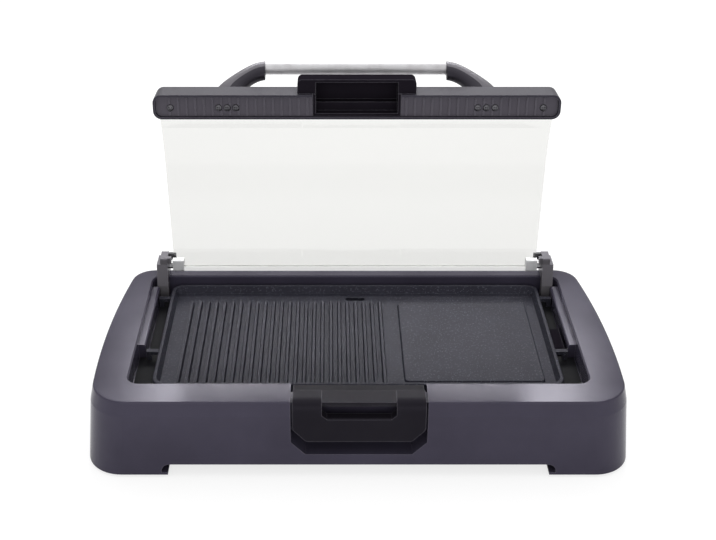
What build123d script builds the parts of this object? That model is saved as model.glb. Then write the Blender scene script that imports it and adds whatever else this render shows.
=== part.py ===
from build123d import *
import math
import os

# Electric indoor grill with a hinged glass lid, in millimetres.
# While it is being modelled, Y = 0 is the front edge of the rim and Z = 0 is the
# worktop.  The finished pieces are moved along Y so that the origin is at the
# centre of the footprint with the lid open.  +X is the user's right, +Y the back.

# ---- driving dimensions: base -------------------------------------------------
RIM_Z = 85.0              # top of the rim
RIM_BACK = 251.0          # rear edge of the rim
RIM_HALF = (257.0, 260.0, 246.0)    # half widths at the front, middle and back
RIM_RADII = (37.0, 24.0)            # corner radii, front and back
SHOULDER_Z = 70.0         # lower edge of the bevel round the rim
SHOULDER_OUT = (3.2, 3.2, 1.5)      # flare of that edge at the front, sides and back
RIM_EDGE_RADIUS = 1.6
SKIRT_Z = 15.0            # underside between the feet
SKIRT_OUT = (8.0, 10.0, 5.0)        # flare at the front, sides and back
WALL = 3.0
FOOT_HALF_GAP = (193.0, 62.0)       # half lengths of the arches, front and sides
ARCH_RADIUS = 8.0
PAD_HEIGHT = 3.0
COVER_THICK = 1.6
COVER_SLOT = (46.0, 5.0)        # cooling slots of the bottom cover
COVER_SLOT_ROWS = (95.0, 175.0)
COVER_SLOT_PITCH = 14.0
COVER_SLOTS_EACH_SIDE = 8
COVER_SCREW_LENGTH = 11.0
COVER_SCREW_X = 239.0
COVER_SCREW_Y = (60.0, 208.0)
BOSS_RADIUS = 6.0
SIDE_RIB_Y = (75.0, 195.0)      # webs under the rim
FRONT_RIB_X = (-150.0, -95.0, 95.0, 150.0)
RIB_HALF = 1.0
PAD_X = 232.0
PAD_Y = (22.0, 228.0)
PAD_SIZE = (44.0, 26.0)
PAD_RADIUS = 8.0
PAD_BEVEL = 0.8
FOOT_FLOOR_SIZE = (90.0, 70.0)
FOOT_FLOOR_THICK = 2.5

WELL_FRONT = 31.5
WELL_BACK = 237.0
WELL_HALF = 226.5
WELL_RADIUS = 12.0
WELL_FLOOR_Z = 22.0
LEDGE_Z = 62.0            # step that the drip tray's flange rests on
LEDGE_WIDTH = 13.0
WELL_MOUTH_BEVEL = 1.4    # soft edge round the well's mouth
RAIL_X = 218.5            # inner face of the side rails, which steady the plate
RAIL_Y = (107.0, 223.5)
RAIL_TOP = 79.0
RAIL_ROUNDING = 2.5
POST_SCREW_LENGTH = 9.0
REFLECTOR_HEIGHT = 6.0
REFLECTOR_THICK = 0.8
REFLECTOR_GAP = 1.0       # clearance to the well all round
REFLECTOR_BEAD_X = (-120.0, 0.0, 120.0)
REFLECTOR_BEAD = (16.0, 2.0)    # width and height of its stiffening beads
MID_Y = (WELL_FRONT + WELL_BACK) / 2

# ---- driving dimensions: grip notch -------------------------------------------
NOTCH_HALF = 66.0
NOTCH_FLOOR_Z = 74.0
POCKET_BACK = 15.0        # back wall of the finger pocket in the front wall
POCKET_Z = 27.0
POCKET_CHAMFER = 14.0
GRIP_HALF = 64.0
GRIP_BAR_Z = (43.0, 68.0)
GRIP_SLOT_HALF = 36.0
GRIP_SLOT_TOP = 80.0
GRIP_SLOT_OPEN_Y = 2.0    # the web over the slot starts behind this
GRIP_WEB_Z = 83.4         # the web's surface, a little below the grip's top
GRIP_TOP_Z = 85.0
GRIP_TOP_Y = (9.0, 20.0)      # flat strip along the top of the grip
GRIP_FACE_Y = (-7.0, -4.0)    # front face at its lower edge and where the top curve starts
GRIP_CURVE_Z = 71.0           # where the face starts to curve back over the rim
GRIP_WALL = 5.0
GRIP_CORNER_RADIUS = 7.0
GRIP_RIVET_X = (-50.0, 50.0)
GRIP_RIVET_Y = WELL_FRONT + 4.0

# ---- driving dimensions: plate and tray ---------------------------------------
PLATE_HALF = 204.5
PLATE_FRONT = 40.0
PLATE_BACK = 231.5
PLATE_RIM_Z = 77.0
PLATE_RADIUS = 12.0
PLATE_FLOOR_Z = 69.0
PLATE_THICK = 4.5
PLATE_RIM_WIDTH = 3.5
PLATE_RIM_ROUNDING = 1.2
PLATE_BEVEL = 2.0         # round the underside
PLATE_WALL_DRAFT = 3.0    # the inner wall leans in by this much
PLATE_INNER_RADII = (7.0, 10.0)     # at the floor and at the rim
DRAIN_PLACE = (0.0, 213.0)
DRAIN_SIZE = (22.0, 7.0)
RIDGE_TOP_Z = 74.0
RIDGE_WIDTHS = (5.0, 2.4)       # at the foot and the crest
RIDGE_PITCH = 9.0
RIDGE_COUNT = 24
RIDGE_FIRST_X = -180.0
GRIDDLE_X = (46.0, 188.0)
GRIDDLE_Y = (52.0, 203.0)
GRIDDLE_Z = 71.5
GRIDDLE_RADIUS = 6.0
GRIDDLE_SLOPE = 1.5       # its edge leans in by this much
GRIDDLE_ROUNDING = 1.0
RIDGE_FRONT = 45.5        # the ridges run on to the plate's front wall
LUG_Y = (104.0, 208.0)
LUG_WIDTH = 5.0
LUG_REACH = 217.5
LUG_ARM_Z = (PLATE_RIM_Z - 7.0, PLATE_RIM_Z - 3.0)
LUG_LEG = 5.0

TRAY_FLANGE = 1.5
TRAY_FLOOR_Z = 36.0
TRAY_HALF = 197.0
TRAY_FRONT = 50.0
TRAY_BACK = 219.0
TRAY_WALL = 1.2
TRAY_TAPER = (8.0, 6.0)         # basin floor inset from its mouth, sides and ends
TRAY_RADII = (22.0, 16.0)       # corner radii of the mouth and the floor
TRAY_FIT = 1.0                  # gap between the flange and the well
RAIL_FIT = 0.7                  # gap between the flange and the side rails
TRAY_BEAD_X = (-110.0, 0.0, 110.0)
TRAY_BEAD = (110.0, 8.0, 1.2)   # length, width and height of the floor beads

# ---- driving dimensions: heating element --------------------------------------
ELEMENT_RADIUS = 3.5
ELEMENT_Z = PLATE_FLOOR_Z - PLATE_THICK - ELEMENT_RADIUS
ELEMENT_ROWS = (66.0, 102.0, 160.0, 196.0)
ELEMENT_LEFT = -165.0
ELEMENT_RIGHT = 165.0
ELEMENT_INNER = 70.0
ELEMENT_BEND = 12.0
CLAMP_X = (-110.0, 20.0, 130.0)
CLAMP_WIDTH = 10.0
CLAMP_THICK = 1.5
CLAMP_SADDLE_HALF = 5.0
CLAMP_EAR_END = 14.0
CLAMP_SCREW_LENGTH = 4.0
CLAMP_SCREW_RADIUS = 1.5
CLAMP_EARS = (-10.0, 10.0)
TERMINAL_Y = MID_Y
TERMINAL_GAP = 24.0
INLET_SIZE = (46.0, 24.0)
INLET_Z = 61.0
SHROUD_X = (206.5, 217.0)
TERMINAL_FACE_X = SHROUD_X[0]
TERMINAL_PIN_LENGTH = 11.5
TERMINAL_PIN_ROUNDING = 1.2
BUSH_RECESS = 4.0         # the bushes end this far behind the shroud's face
BUSH_RADIUS = 5.0
PIN_BORE_RADIUS = 3.0
BEZEL_FACE_X = 259.8
BEZEL_THICK = 2.5
BEZEL_BORDER = (12.0, 5.0)      # flange beyond the passage, in width and height
BEZEL_RADIUS = 5.0
BEZEL_ROUNDING = 1.0
SLEEVE_FIT = 0.2                # gap round the sleeve
SLEEVE_WALL = 2.0
SHROUD_HALF_HEIGHT = 8.0

# ---- driving dimensions: lid --------------------------------------------------
PIVOT_Y = 241.0
PIVOT_Z = 96.0
OPEN_ANGLE = 94.0         # from closed to leaning back on the stops
LID_REACH = 204.0         # pivot to the front face of the frame
FRAME_BACK = 177.5        # pivot to the rear wall of the frame
FRAME_HALF = 213.0
FRAME_LOW = -15.0         # lip of the skirt below the pivot, lid closed
FRAME_HIGH = 17.0
FRAME_WALL = 2.5
FRAME_RADIUS = 9.0
FRAME_ROUNDINGS = (2.5, 0.8)    # of the top edge and of the lip
RIB_PITCH = 9.0
FRAME_COVER_Z = (-11.5, -9.5)    # inner cover strips, lid closed
FRAME_COVER_GAP = 0.3
RIB_SIZE = (1.7, 1.3)           # width and height of the covers' ribs
GLASS_THICK = 4.0
GLASS_REAR_HALF = 202.5
GLASS_FRONT_HALF = 210.5
GLASS_TAIL = 4.0
GLASS_SLOPE = 0.12        # rise of the straight part from the pivot
GLASS_BEND_REACH = 138.0
GLASS_BEND_RADIUS = 150.0
GLASS_FRONT_REACH = 184.0
GLASS_FRONT_LIFT = 9.0    # height of the glass's front edge over the pivot
GLASS_PAST_FRONT = GLASS_FRONT_REACH + 5.0      # cutting outline past the panel's ends
GLASS_PAST_TAIL = GLASS_TAIL + 5.0
GROOVE_Z = (3.5, 14.5)
GROOVE_REACH = 187.0
SEAL_HALF = 212.0
FRAME_END_SCREW_X = 195.0
FRAME_SCREW_REACH = 189.5
ARM_SCREW_PITCH = 9.0
FRAME_BOSS_RADIUS = 4.2
FRAME_SCREW_RADIUS = 1.7
ARM_SCREW_TOP = 23.5
LUG_X = (192.0, 204.5)
LUG_FRONT = 9.0
LUG_Z = (-4.5, 5.0)
EDGE_STRIP_FRONT = 0.0     # where the strip on the rear edge of the glass begins
EDGE_STRIP_WALL = 0.8
HOOD_HALF = 62.0
HOOD_INNER_HALF = 43.0
HOOD_REACH = 219.0
HOOD_LOW = -9.5
HOOD_TOP = 12.0
HOOD_WALL = 3.0
HOOD_ROUNDINGS = (5.0, 3.0)     # of its outer corners and its upper edge
BAR_RADIUS = 6.0
BAR_HALF = 104.0
BAR_REACH = 213.0
BAR_LIFT = 53.0
BAR_SPIGOT_RADIUS = 4.2
BAR_BEVEL = 0.6
ARM_FOOT = (122.0, 149.0)
ARM_THICK = 15.0
ARM_REACH = 190.5
ARM_OVERLAP = 6.0
ARM_ROUNDING = 5.0
COLLAR_SPAN = (-16.0, 7.0)    # the arm's end below and above the bar's axis
PIN_RADIUS = 3.0
PIN_CLEARANCE = 0.05

POST_X = (209.5, 221.5)
POST_Y = (229.0, 252.0)
POST_TOP = 110.5
POST_HEAD = 7.0           # height of the head, which leans in over the glass
POST_HEAD_SHIFT = 4.0
POST_FOOT_Y = 224.5
POST_SCREW_X = (POST_X[0] + POST_X[1]) / 2
POST_FOOT_BACK = 233.0
POST_SCREW_Y = (POST_FOOT_Y + POST_FOOT_BACK) / 2
PIN_LENGTH_IN_POST = 9.0
BUMPER_Y = (247.3, 251.0)
BUMPER_Z = (100.0, 108.0)

SCREW_RADIUS = 2.0
SCREW_HEAD_RADIUS = 3.6
SCREW_HEAD_HEIGHT = 2.2
RIVET_RADIUS = 1.8
BEYOND = 320.0            # past every face of the object, for cutting blocks

os.makedirs("parts", exist_ok=True)


# ---- shared shapes ------------------------------------------------------------
def box_between(x, y, z):
    """A box from two limits along each axis."""
    size = (x[1] - x[0], y[1] - y[0], z[1] - z[0])
    centre = ((x[0] + x[1]) / 2, (y[0] + y[1]) / 2, (z[0] + z[1]) / 2)
    return Pos(*centre) * Box(*size)


def rounded_plan(half, front, back, radius):
    """A rectangle in plan with four equal corner radii."""
    sketch = RectangleRounded(2 * half, back - front, radius)
    return Pos(0, (front + back) / 2) * sketch


def plate_between(half, front, back, radius, low, high):
    """An upright prism of the rounded plan."""
    return Pos(0, 0, low) * extrude(rounded_plan(half, front, back, radius), high - low)


def bowed_plan(out_front, out_side, out_back, inset=0.0):
    """The base's outline: straight front and back, bowed sides, rounded corners."""
    front = -out_front + inset
    back = RIM_BACK + out_back - inset
    halves = [half + out_side - inset for half in RIM_HALF]
    middle = (front + back) / 2
    right = ThreePointArc((halves[0], front), (halves[1], middle), (halves[2], back))
    left = ThreePointArc((-halves[2], back), (-halves[1], middle), (-halves[0], front))
    outline = [
        Line((-halves[0], front), (halves[0], front)),
        right,
        Line((halves[2], back), (-halves[2], back)),
        left,
    ]
    plan = make_face(outline)
    corners = plan.vertices().sort_by(Axis.Y)
    plan = fillet(corners[:2], RIM_RADII[0] - inset)
    corners = plan.vertices().filter_by(lambda v: v.Y > back - 1.0)
    return fillet(corners, RIM_RADII[1] - inset)


def screw(length, head_radius=SCREW_HEAD_RADIUS, radius=SCREW_RADIUS):
    """A pan-head screw: the head stands on Z = 0 and the shank points down."""
    head = extrude(Circle(head_radius), SCREW_HEAD_HEIGHT)
    rim = head.edges().group_by(Axis.Z)[-1]
    head = fillet(rim, SCREW_HEAD_HEIGHT / 2)
    shank = Pos(0, 0, -length) * extrude(Circle(radius), length)
    return head + shank


def group(pieces):
    """Separate like solids that share one node."""
    return Compound(children=list(pieces))


# ---- base ---------------------------------------------------------------------
def outer_form(inset=0.0, top=RIM_Z, low=0.0):
    """The base's outer body: a flared wall, a steep bevel and the flat rim."""
    rim = Pos(0, 0, top) * bowed_plan(0.0, 0.0, 0.0, inset)
    shoulder = Pos(0, 0, SHOULDER_Z) * bowed_plan(*SHOULDER_OUT, inset)
    foot = Pos(0, 0, low) * bowed_plan(*SKIRT_OUT, inset)
    return loft([foot, shoulder], ruled=True) + loft([shoulder, rim], ruled=True)


def well(grow=0.0, low=WELL_FLOOR_Z + WALL, high=RIM_Z + 1.0):
    """The stepped well: narrow under the ledge, full size above it."""
    lower = plate_between(
        WELL_HALF - LEDGE_WIDTH + grow,
        WELL_FRONT + LEDGE_WIDTH - grow,
        WELL_BACK - LEDGE_WIDTH + grow,
        WELL_RADIUS + grow,
        low,
        high,
    )
    upper = plate_between(
        WELL_HALF + grow,
        WELL_FRONT - grow,
        WELL_BACK + grow,
        WELL_RADIUS + grow,
        LEDGE_Z - grow,
        high,
    )
    return lower + upper


def grip_pocket(grow=0.0, top=RIM_Z + 1.0):
    """The finger pocket in the front wall, with chamfered lower corners."""
    half = NOTCH_HALF + grow
    low = POCKET_Z - grow
    cut = POCKET_CHAMFER
    front_face = Polyline(
        (-half, top), (-half, low + cut), (-half + cut, low),
        (half - cut, low), (half, low + cut), (half, top), close=True,
    )
    ahead = 20.0
    depth = POCKET_BACK + grow + ahead
    profile = Plane.XZ.offset(ahead) * make_face(front_face)
    return extrude(profile, depth, dir=(0, 1, 0))


def rim_notch(grow=0.0, top=RIM_Z + 1.0):
    """The shallow notch that leads the grip from the well over the front rim."""
    x = (-NOTCH_HALF - grow, NOTCH_HALF + grow)
    return box_between(x, (-20.0, WELL_FRONT + 1.0), (NOTCH_FLOOR_Z - grow, top))


def foot_arches():
    """Cut-outs between the feet, with rounded ends."""
    half_x, half_y = FOOT_HALF_GAP
    centre = Pos(0, MID_Y, 0)
    along_x = extrude(Plane.XZ * Rectangle(2 * half_x, 2 * SKIRT_Z), BEYOND, both=True)
    along_x = fillet(along_x.edges().filter_by(Axis.Y).group_by(Axis.Z)[-1], ARCH_RADIUS)
    along_y = extrude(Plane.YZ * Rectangle(2 * half_y, 2 * SKIRT_Z), BEYOND, both=True)
    along_y = fillet(along_y.edges().filter_by(Axis.X).group_by(Axis.Z)[-1], ARCH_RADIUS)
    return centre * (along_x + along_y)


def cover_screw_places():
    """Where the bottom cover is screwed to the housing's bosses."""
    return [(x, y) for x in (-COVER_SCREW_X, COVER_SCREW_X) for y in COVER_SCREW_Y]


def inlet_tunnel(grow=0.0):
    """The passage for the thermostat connector, through the right wall."""
    width, height = INLET_SIZE
    y = (TERMINAL_Y - width / 2 - grow, TERMINAL_Y + width / 2 + grow)
    z = (INLET_Z - height / 2 - grow, INLET_Z + height / 2 + grow)
    return box_between((WELL_HALF - LEDGE_WIDTH - 2.0, BEYOND), y, z)


def make_housing():
    """Moulded shell: outer wall, rim, stepped well, grip pocket, ribs, bosses, feet."""
    outer = outer_form(low=PAD_HEIGHT)
    outer = fillet(outer.edges().group_by(Axis.Z)[-1], RIM_EDGE_RADIUS)
    inner = outer_form(inset=WALL, top=RIM_Z - WALL, low=PAD_HEIGHT - 1.0)
    everywhere = (-BEYOND, BEYOND)
    inner = inner & box_between(everywhere, everywhere, (PAD_HEIGHT - 1.0, RIM_Z - WALL))
    well_block = well(grow=WALL, low=WELL_FLOOR_Z, high=RIM_Z - WALL)
    pocket_block = grip_pocket(grow=WALL, top=RIM_Z - WALL)
    notch_block = rim_notch(grow=WALL, top=RIM_Z - WALL)
    tunnel_block = inlet_tunnel(grow=WALL)
    body = outer - (inner - well_block - pocket_block - notch_block - tunnel_block)
    for rib in stiffening_ribs():
        body += rib & inner
    for x, y in cover_screw_places():
        low = SKIRT_Z + COVER_THICK
        body += Pos(x, y, low) * extrude(Circle(BOSS_RADIUS), RIM_Z - low - 1.0)
    body -= well()
    for side in (-1, 1):
        body += side_rail(side)
    body -= well_mouth()
    body -= grip_pocket()
    body -= rim_notch()
    body -= inlet_tunnel()
    body -= foot_arches()
    body += make_foot_floors(outer)
    for x, y in cover_screw_places():
        body -= Pos(x, y, SKIRT_Z - 1.0) * extrude(Circle(SCREW_RADIUS), COVER_SCREW_LENGTH + 2.0)
    for x in GRIP_RIVET_X:
        recess = extrude(Circle(2 * RIVET_RADIUS + 0.8), 4.0)
        body -= Pos(x, GRIP_RIVET_Y, LEDGE_Z - 1.6) * recess
    for side in (-1, 1):
        hole = extrude(Circle(SCREW_RADIUS), WALL + 2.0)
        body -= Pos(side * POST_SCREW_X, POST_SCREW_Y, LEDGE_Z - WALL - 1.0) * hole
    return body - bezel_flange(BEYOND - BEZEL_FACE_X)


def well_mouth():
    """A shallow bevel cut round the well's upper edge."""
    bevel = WELL_MOUTH_BEVEL
    low = Pos(0, 0, RIM_Z - bevel) * rounded_plan(WELL_HALF, WELL_FRONT, WELL_BACK, WELL_RADIUS)
    high = Pos(0, 0, RIM_Z + bevel) * rounded_plan(
        WELL_HALF + 2 * bevel, WELL_FRONT - 2 * bevel, WELL_BACK + 2 * bevel, WELL_RADIUS + 2 * bevel)
    return loft([low, high], ruled=True)


def side_rail(side):
    """A low rail on the ledge of the well, beside the plate."""
    x = sorted((side * RAIL_X, side * (WELL_HALF + 1.0)))
    rail = box_between(x, RAIL_Y, (LEDGE_Z - 1.0, RAIL_TOP))
    inner_top = rail.edges().filter_by(Axis.Y).group_by(Axis.Z)[-1].sort_by(Axis.X)
    return fillet(inner_top[0] if side > 0 else inner_top[-1], RAIL_ROUNDING)


def stiffening_ribs():
    """Webs that tie the well to the outer wall under the rim."""
    low, high = WELL_FLOOR_Z + 20.0, RIM_Z - 1.0
    ribs = []
    for side in (-1, 1):
        for y in SIDE_RIB_Y:
            x = sorted((side * (WELL_HALF + 1.0), side * BEYOND))
            ribs.append(box_between(x, (y - RIB_HALF, y + RIB_HALF), (low, high)))
    for x in FRONT_RIB_X:
        ribs.append(box_between((x - RIB_HALF, x + RIB_HALF), (-BEYOND, WELL_FRONT - 1.0), (low, high)))
    return ribs


def make_bottom_cover():
    """Pressed plate that closes the underside, with rows of cooling slots."""
    inset = WALL + 0.4
    plan = bowed_plan(SKIRT_OUT[0] - 1.2, SKIRT_OUT[1] - 2.0, SKIRT_OUT[2] - 1.0, inset)
    cover = Pos(0, 0, SKIRT_Z) * extrude(plan, COVER_THICK)
    slot = extrude(SlotOverall(*COVER_SLOT, rotation=90), 3 * COVER_THICK)
    for row_y in COVER_SLOT_ROWS:
        for step in range(-COVER_SLOTS_EACH_SIDE, COVER_SLOTS_EACH_SIDE + 1):
            cover -= Pos(step * COVER_SLOT_PITCH, row_y, SKIRT_Z - COVER_THICK) * slot
    for x, y in cover_screw_places():
        cover -= Pos(x, y, SKIRT_Z - 2.0) * extrude(Circle(SCREW_RADIUS + 0.3), 6.0)
    return cover


def make_cover_screws():
    """Screws of the bottom cover, heads down."""
    turned = Rot(180, 0, 0) * screw(COVER_SCREW_LENGTH)
    return group([Pos(x, y, SKIRT_Z) * turned for x, y in cover_screw_places()])


def make_foot_pads():
    """Rubber pads under the four corner feet, bevelled round their lower edge."""
    pads = []
    for x in (-PAD_X, PAD_X):
        for y in PAD_Y:
            pad = Pos(x, y, 0) * extrude(RectangleRounded(*PAD_SIZE, PAD_RADIUS), PAD_HEIGHT)
            pad = chamfer(pad.edges().group_by(Axis.Z)[0], PAD_BEVEL)
            pads.append(pad)
    return group(pads)


def make_foot_floors(outer):
    """Floors of the hollow feet, which carry the pads."""
    floors = None
    for x in (-PAD_X, PAD_X):
        for y in PAD_Y:
            span_x, span_y = FOOT_FLOOR_SIZE
            floor = Pos(x, y, PAD_HEIGHT) * extrude(Rectangle(span_x, span_y), FOOT_FLOOR_THICK)
            floors = floor if floors is None else floors + floor
    return floors & outer


def make_heat_reflector():
    """Bright sheet pan lying on the well floor, under the drip tray."""
    half = WELL_HALF - LEDGE_WIDTH - REFLECTOR_GAP
    front = WELL_FRONT + LEDGE_WIDTH + REFLECTOR_GAP
    back = WELL_BACK - LEDGE_WIDTH - REFLECTOR_GAP
    radius = WELL_RADIUS - REFLECTOR_GAP
    low = WELL_FLOOR_Z + WALL
    high = low + REFLECTOR_HEIGHT
    wall = REFLECTOR_THICK
    pan = plate_between(half, front, back, radius, low, high)
    pan -= plate_between(half - wall, front + wall, back - wall, radius - wall, low + wall, high + 1.0)
    width, height = REFLECTOR_BEAD
    for x in REFLECTOR_BEAD_X:
        span = (x - width / 2, x + width / 2)
        bead = box_between(span, (front + 20.0, back - 20.0), (low, low + height))
        pan += fillet(bead.edges().group_by(Axis.Z)[-1], height / 2)
    return pan


def make_inlet_bezel():
    """Heat-proof sleeve lining the connector's passage, with a flange outside."""
    opening = inlet_tunnel(grow=-SLEEVE_FIT - SLEEVE_WALL)
    sleeve = inlet_tunnel(grow=-SLEEVE_FIT) - opening
    sleeve = sleeve & box_between((WELL_HALF + 0.5, BEZEL_FACE_X), (0, BEYOND), (0, BEYOND))
    flange = bezel_flange(BEZEL_THICK)
    flange = fillet(flange.edges().group_by(Axis.X)[-1], BEZEL_ROUNDING)
    return sleeve + flange - opening


def bezel_flange(thick):
    """The bezel's rounded flange, standing on the recess in the side wall."""
    width, height = INLET_SIZE
    border_y, border_z = BEZEL_BORDER
    outline = RectangleRounded(width + border_y, height + border_z, BEZEL_RADIUS)
    return Pos(0, TERMINAL_Y, INLET_Z) * extrude(Plane.YZ.offset(BEZEL_FACE_X) * outline, thick)


# ---- hinge posts --------------------------------------------------------------
def make_hinge_post(side):
    """Moulded post at a rear corner of the well, with the lid's pin bore."""
    x = sorted((side * POST_X[0], side * POST_X[1]))
    neck = POST_TOP - POST_HEAD
    outline = Polyline(
        (POST_FOOT_Y, LEDGE_Z),
        (POST_FOOT_Y, RIM_Z - 6.0),
        (POST_Y[0] + 1.5, neck),
        (POST_Y[0] + 1.5, POST_TOP),
        (POST_Y[1] - 3.0, POST_TOP),
        (POST_Y[1], neck),
        (POST_Y[1], RIM_Z),
        (POST_FOOT_BACK, RIM_Z),
        (POST_FOOT_BACK, LEDGE_Z),
        close=True,
    )
    side_view = make_face(outline)
    top_corners = [corner for corner in side_view.vertices() if corner.Y > neck - 1.0]
    side_view = fillet(top_corners, 1.5)
    post = extrude(Plane.YZ.offset(x[0]) * side_view, x[1] - x[0])
    outer = sorted((side * (POST_X[1] - POST_HEAD_SHIFT), side * (POST_X[1] + 1.0)))
    post -= box_between(outer, (0, BEYOND), (neck, POST_TOP + 1.0))
    nib = sorted((side * (POST_X[0] - POST_HEAD_SHIFT), side * (POST_X[0] + 4.0)))
    post += box_between(nib, (POST_Y[0] + 3.0, PIVOT_Y - 4.0), (neck, POST_TOP))
    bore_end = side * (POST_X[0] + PIN_LENGTH_IN_POST + 1.0)
    bore = Cylinder(PIN_RADIUS + PIN_CLEARANCE, 2 * (PIN_LENGTH_IN_POST + 1.0))
    post -= Pos(bore_end - side * (PIN_LENGTH_IN_POST + 1.0), PIVOT_Y, PIVOT_Z) * Rot(0, 90, 0) * bore
    return post - Pos(side * POST_SCREW_X, POST_SCREW_Y, LEDGE_Z) * extrude(Circle(SCREW_RADIUS), 6.0)


def make_post_screws():
    """Screws up through the well's ledge into the feet of the posts."""
    turned = Rot(180, 0, 0) * screw(POST_SCREW_LENGTH)
    return group([Pos(side * POST_SCREW_X, POST_SCREW_Y, LEDGE_Z - WALL) * turned for side in (-1, 1)])


def make_rest_bumpers():
    """Rubber stops behind the pivots, which the open lid's lugs lean on."""
    pads = []
    for side in (-1, 1):
        x = sorted((side * (POST_X[0] - 8.0), side * POST_X[0]))
        pads.append(box_between(x, BUMPER_Y, BUMPER_Z))
    return group(pads)


# ---- drip tray ----------------------------------------------------------------
def make_drip_tray():
    """Pressed steel tray: a wide flange on the well's ledge round a tapered basin."""
    low, high = LEDGE_Z, LEDGE_Z + TRAY_FLANGE
    flange = plate_between(
        WELL_HALF - TRAY_FIT, WELL_FRONT + TRAY_FIT, WELL_BACK - TRAY_FIT,
        WELL_RADIUS - TRAY_FIT, low, high)
    shell = loft([basin_floor(), basin_mouth()], ruled=True)
    hollow = loft([basin_floor(TRAY_WALL), basin_mouth(TRAY_WALL)], ruled=True)
    hollow += extrude(basin_mouth(TRAY_WALL), 2 * TRAY_FLANGE)
    tray = flange + shell - hollow
    length, width, height = TRAY_BEAD
    for x in TRAY_BEAD_X:
        bead = Pos(x, MID_Y, TRAY_FLOOR_Z + TRAY_WALL) * SlotOverall(length, width, rotation=90)
        tray += extrude(bead, height)
    for side in (-1, 1):
        x = sorted((side * (POST_X[0] - 4.0), side * (POST_X[1] + 6.0)))
        tray -= box_between(x, (POST_FOOT_Y - 1.0, WELL_BACK + 1.0), (low - 1.0, high + 1.0))
        beside = sorted((side * (RAIL_X - RAIL_FIT), side * (WELL_HALF + 1.0)))
        tray -= box_between(beside, (RAIL_Y[0] - RAIL_FIT, POST_FOOT_Y), (low - 1.0, high + 1.0))
    half_gap = INLET_SIZE[0] / 2 + 3.0
    terminal_gap = (TERMINAL_Y - half_gap, TERMINAL_Y + half_gap)
    right_edge = (TRAY_HALF - 12.0, WELL_HALF + 1.0)
    tray -= box_between(right_edge, terminal_gap, (ELEMENT_Z - 5.0, high + 1.0))
    for x in GRIP_RIVET_X:
        tray -= Pos(x, GRIP_RIVET_Y, low) * extrude(Circle(RIVET_RADIUS), 4.0)
    return tray


def basin_mouth(inset=0.0):
    """Outline of the drip tray's basin at the flange."""
    return Pos(0, 0, LEDGE_Z) * rounded_plan(
        TRAY_HALF - inset, TRAY_FRONT + inset, TRAY_BACK - inset, TRAY_RADII[0] - inset)


def basin_floor(inset=0.0):
    """Outline of the basin's floor, inside the tapered walls."""
    taper_x, taper_y = TRAY_TAPER
    return Pos(0, 0, TRAY_FLOOR_Z + inset) * rounded_plan(
        TRAY_HALF - taper_x - inset, TRAY_FRONT + taper_y + inset,
        TRAY_BACK - taper_y - inset, TRAY_RADII[1] - inset)


def grip_slot():
    """The finger slot under the grip's web: sloped lower corners, soft lower lip."""
    half, low, high = GRIP_SLOT_HALF, GRIP_BAR_Z[1], GRIP_SLOT_TOP
    slot_view = Polyline(
        (-half, high), (-half, low + 4.0), (-half + 5.0, low),
        (half - 5.0, low), (half, low + 4.0), (half, high), close=True,
    )
    through = extrude(Plane.XZ * make_face(slot_view), 60.0, both=True)
    reach = (GRIP_FACE_Y[0] - 1.0, GRIP_FACE_Y[1] + 2 * GRIP_WALL + 0.5)
    in_front = (GRIP_FACE_Y[0] - 1.0, GRIP_SLOT_OPEN_Y)
    slot = through & box_between((-half, half), reach, (low, high))
    slot += box_between((-half, half), in_front, (high - 1.0, GRIP_TOP_Z + 1.0))
    lip = Polyline(
        (GRIP_FACE_Y[0] - 1.0, low + 1.0), (GRIP_FACE_Y[1] + 2.0, low + 1.0),
        (GRIP_FACE_Y[0] - 1.0, low - 3.5), close=True,
    )
    return slot + extrude(Plane.YZ * make_face(lip), half - 5.0, both=True)


def make_tray_grip():
    """Moulded hook grip: from the flange, over the notched rim, down the front."""
    bar_low, bar_top = GRIP_BAR_Z
    hook_y = WELL_FRONT + 1.0
    step_z = NOTCH_FLOOR_Z + 1.0
    top_front, top_back = GRIP_TOP_Y
    face_low, face_high = GRIP_FACE_Y
    outline = [
        Polyline(
            (top_front, GRIP_TOP_Z), (top_back, GRIP_TOP_Z), (top_back + 3.0, step_z + GRIP_WALL),
            (hook_y + GRIP_WALL, step_z + 3.0), (hook_y + GRIP_WALL, LEDGE_Z + TRAY_FLANGE),
            (hook_y, LEDGE_Z + TRAY_FLANGE), (hook_y, step_z), (face_high + 2 * GRIP_WALL, step_z),
            (face_low + 2 * GRIP_WALL, bar_low), (face_low, bar_low), (face_high, GRIP_CURVE_Z),
        ),
        Spline(
            (face_high, GRIP_CURVE_Z), (top_front, GRIP_TOP_Z),
            tangents=((face_high - face_low, GRIP_CURVE_Z - bar_low), (1, 0))),
    ]
    solid = extrude(Plane.YZ * make_face(outline), GRIP_HALF, both=True)
    cut = POCKET_CHAMFER - (NOTCH_HALF - GRIP_HALF) / 2
    front_view = make_face(Polyline(
        (-GRIP_HALF, GRIP_TOP_Z + 1.0), (-GRIP_HALF, bar_low + cut), (-GRIP_HALF + cut, bar_low),
        (GRIP_HALF - cut, bar_low), (GRIP_HALF, bar_low + cut), (GRIP_HALF, GRIP_TOP_Z + 1.0),
        close=True,
    ))
    lower_corners = [corner for corner in front_view.vertices() if corner.Y < GRIP_TOP_Z]
    front_view = fillet(lower_corners, GRIP_CORNER_RADIUS)
    grip = solid & extrude(Plane.XZ * front_view, 60.0, both=True)
    grip -= grip_slot()
    slot_span = (-GRIP_SLOT_HALF, GRIP_SLOT_HALF)
    above_web = (GRIP_WEB_Z, GRIP_TOP_Z + 1.0)
    grip -= box_between(slot_span, (face_low - 1.0, top_back + GRIP_WALL), above_web)
    for x in GRIP_RIVET_X:
        grip -= Pos(x, GRIP_RIVET_Y, LEDGE_Z) * extrude(Circle(RIVET_RADIUS), 8.0)
    return grip


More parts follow.
